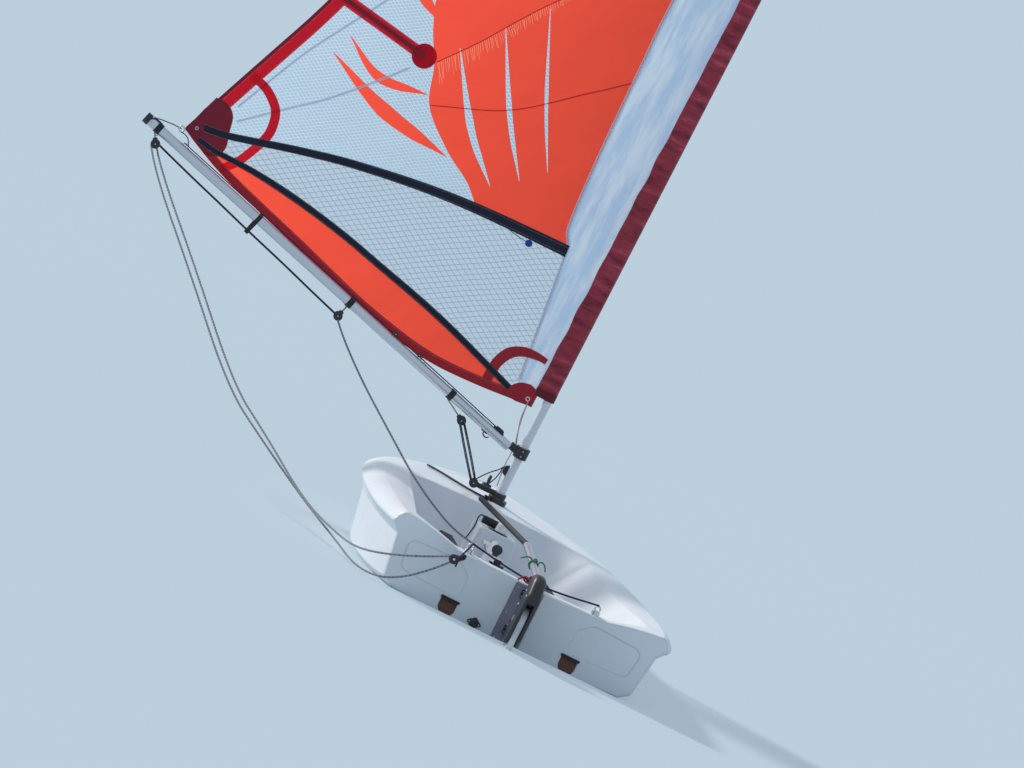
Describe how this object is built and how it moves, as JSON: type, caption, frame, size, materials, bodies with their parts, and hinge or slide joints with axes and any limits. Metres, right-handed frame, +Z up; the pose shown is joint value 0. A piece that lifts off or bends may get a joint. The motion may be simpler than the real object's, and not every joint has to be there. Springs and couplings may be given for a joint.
{
  "type": "sailing dinghy",
  "caption": "One-person plastic sailing dinghy afloat, with an unstayed sleeve-sail rig, boom squared out to port, kick-up rudder, tiller and daggerboard.",
  "frame": {"origin": "on the centreline at half the hull's length, at the still waterline of the empty boat", "axes": "+Z up along the waterline mount, +Y to the bow, +X to starboard"},
  "size_m": [2.4343, 3.0362, 5.1477],
  "materials": {
    "hull_plastic": "semi-gloss moulded, white",
    "foil_plastic": "satin, white",
    "black_plastic": "satin moulded, black",
    "grey_plastic": "matt, grey violet",
    "rubber": "matt, black",
    "steel": "brushed",
    "mast_white": "glossy tube, white",
    "spar": "anodised tube, grey",
    "grip": "ribbed sleeve, near black",
    "boom_alloy": "anodised, silver",
    "sail_cloth": "laminated cloth, orange",
    "sleeve_cloth": "woven, dark red",
    "webbing": "woven webbing, black"
  },
  "bodies": {
    "hull": {"hull": "hull_plastic", "transom_plate": "grey_plastic", "gudgeon_lower": "steel", "gudgeon_upper": "steel", "drain_bung": "black_plastic", "scupper_lip_port": "rubber", "scupper_lip_starboard": "rubber", "bridle_eye_port": "steel", "bridle_eye_starboard": "steel", "hiking_strap_port": "webbing", "hiking_strap_starboard": "webbing", "sheet_post": "black_plastic", "sheet_arm": "steel", "sheet_block": "black_plastic", "mast_collar": "black_plastic", "board_frame": "black_plastic", "bow_eye": "black_plastic"},
    "rig": {"mast_lower": "mast_white", "mast_upper": "spar", "mast_cap": "black_plastic", "mast_cleat": "black_plastic", "gooseneck": "black_plastic", "boom": "boom_alloy", "boom_cap": "black_plastic", "luff_sleeve": "sleeve_cloth", "sail": "sail_cloth", "clew_ring": "steel", "vang_collar": "black_plastic", "vang_strap": "webbing", "vang_upper_block": "black_plastic", "vang_lower_block": "black_plastic", "end_strap": "webbing", "end_block": "black_plastic", "mid_strap": "webbing", "mid_block": "black_plastic"},
    "rudder": {"rudder_head": "black_plastic", "pintle_pin": "steel", "blade_pivot": "steel", "tiller": "spar", "tiller_joint": "rubber", "tiller_extension": "grip"},
    "rudder_blade": {"rudder_blade": "foil_plastic"},
    "board": {"daggerboard": "foil_plastic", "daggerboard_head": "foil_plastic", "board_grip": "rubber"}
  },
  "joints": [
    {"name": "rig_swing", "type": "hinge", "parent": "hull", "child": "rig", "pos_m": [0, 0.69, 0.32], "axis": [0, -0.1149, 0.9934], "range_deg": [-14, 186]},
    {"name": "rudder_turn", "type": "hinge", "parent": "hull", "child": "rudder", "pos_m": [0, -1.421, 0.097], "axis": [0, 0, 1], "range_deg": [-55, 55]},
    {"name": "blade_kick", "type": "hinge", "parent": "rudder", "child": "rudder_blade", "pos_m": [0, -1.505, 0.097], "axis": [-1, 0, 0], "range_deg": [0, 90]},
    {"name": "board_lift", "type": "slide", "parent": "hull", "child": "board", "axis": [0, 0, 1], "range_m": [0, 0.7]}
  ]
}
